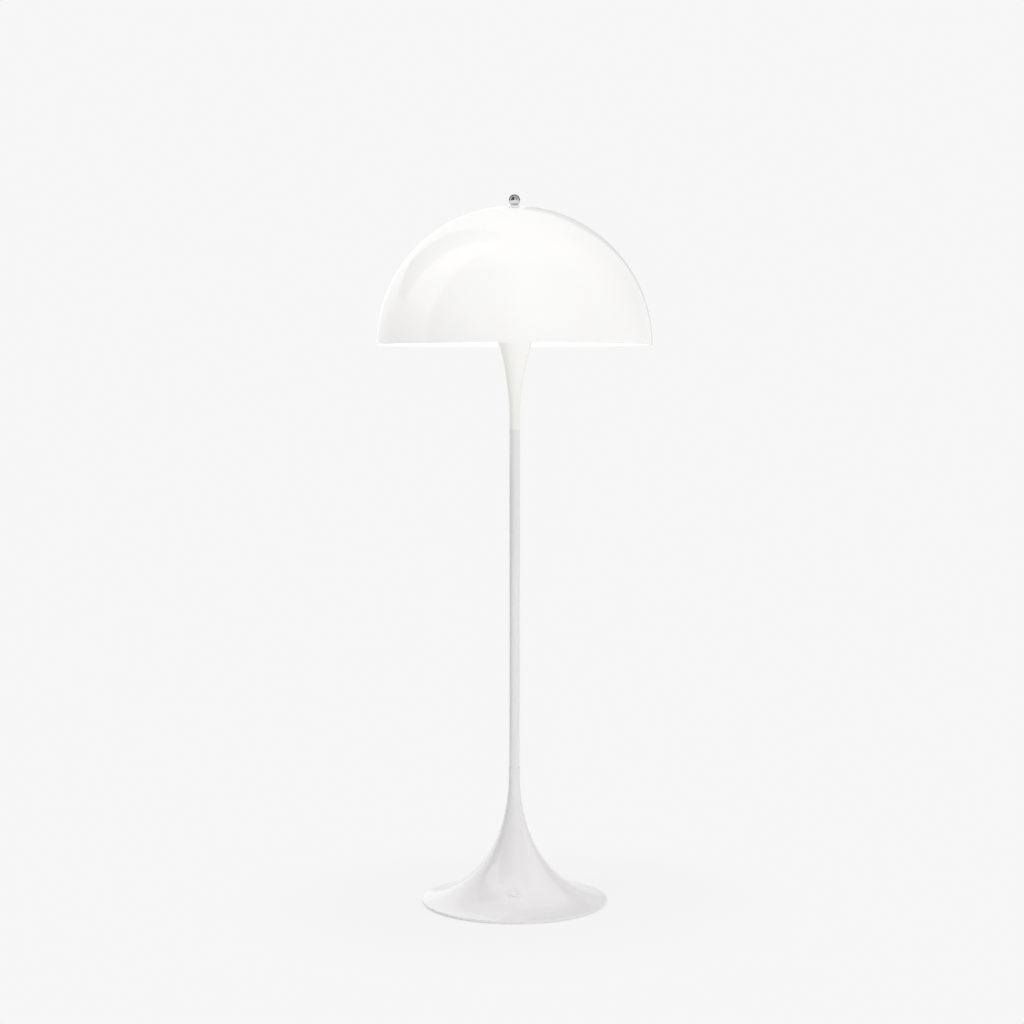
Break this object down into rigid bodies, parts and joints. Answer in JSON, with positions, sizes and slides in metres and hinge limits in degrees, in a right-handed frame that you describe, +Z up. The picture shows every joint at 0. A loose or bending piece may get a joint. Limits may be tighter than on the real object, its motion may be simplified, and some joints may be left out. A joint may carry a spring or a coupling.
{
  "type": "mushroom floor lamp",
  "caption": "Floor lamp with a half-sphere opal shade over a glowing trumpet neck, a thin tube and a weighted trumpet foot with a foot button.",
  "frame": {"origin": "centre of the foot, on the floor", "axes": "+Z up along the stem, the foot button faces -Y, the cord's gland faces +Y"},
  "size_m": [0.4999, 0.5, 1.295],
  "materials": {
    "opal_acrylic": "glossy opal acrylic, lit from inside",
    "white_lacquer": "gloss white lacquer",
    "chrome": "polished",
    "white_plastic": "moulded, satin",
    "black_plastic": "moulded, fine texture",
    "circuit_board": "coated board",
    "lead_sheath": "smooth sheath",
    "clear_rubber": "soft, slightly frosted",
    "black_rubber": "matte",
    "aluminium": "spun, bare",
    "steel": "zinc plated",
    "brass": "turned",
    "cast_iron": "rough cast, primed",
    "opal_glass": "inside-frosted"
  },
  "bodies": {
    "lamp": {"ballast": "cast_iron", "base_shell": "white_lacquer", "bottom_plate": "white_lacquer", "bulb_1_glass": "opal_glass", "bulb_2_glass": "opal_glass", "bulb_3_glass": "opal_glass", "bulb_caps": "aluminium", "button_bezel": "white_plastic", "button_nut": "black_plastic", "button_spring": "steel", "carrier_nut": "brass", "centre_contacts": "brass", "centre_rod": "steel", "cord_gland": "white_plastic", "dimmer_board": "circuit_board", "dimmer_case": "black_plastic", "dimmer_components": "black_plastic", "dimmer_cover": "black_plastic", "dimmer_screws": "steel", "foot_bush": "steel", "foot_nut": "steel", "foot_ring": "clear_rubber", "foot_rod": "steel", "foot_washer": "steel", "holder_leads": "lead_sheath", "holder_nipples": "steel", "lamp_plate": "steel", "lampholder_1": "white_plastic", "lampholder_2": "white_plastic", "lampholder_3": "white_plastic", "neck_clamp_nut": "brass", "neck_clamp_ring": "white_plastic", "neck_socket": "steel", "nipple_nuts": "brass", "plate_nut": "brass", "plate_screws": "steel", "reflector_trumpet": "opal_acrylic", "screw_shells": "brass", "shade_carrier": "aluminium", "shade_gasket": "black_rubber", "shade_stud": "steel", "stem_lead": "lead_sheath", "stem_tube": "white_lacquer", "switch_body": "black_plastic", "switch_lead": "lead_sheath", "terminal_block": "white_plastic", "terminal_lead": "lead_sheath", "terminal_screws": "brass", "top_bush": "steel", "wire_hub": "brass"},
    "shade": {"shade": "opal_acrylic", "crown_pad": "clear_rubber"},
    "finial_washer": {"finial_washer": "chrome"},
    "finial_knob": {"finial_knob": "chrome"},
    "button": {"button_cap": "white_plastic"}
  },
  "joints": [
    {"name": "button_press", "type": "slide", "parent": "lamp", "child": "button", "axis": [0, 0.5906, -0.807], "range_m": [0, 0.0025], "stiffness_N_per_m": 600, "springref_m": -0.002, "deforming": ["button_spring"]},
    {"name": "shade_lift", "type": "slide", "parent": "lamp", "child": "shade", "axis": [0, 0, 1], "range_m": [0, 0.28]},
    {"name": "finial_rise", "type": "slide", "parent": "shade", "child": "finial_washer", "axis": [0, 0, 1], "range_m": [0, 0.0096]},
    {"name": "finial_turn", "type": "hinge", "parent": "finial_washer", "child": "finial_knob", "pos_m": [0, 0, 1.2765], "axis": [0, 0, 1], "range_deg": [0, 3420]}
  ],
  "couplings": [
    {"joint": "finial_rise", "follows": "finial_turn", "m_per_rad": 0.00015915}
  ]
}
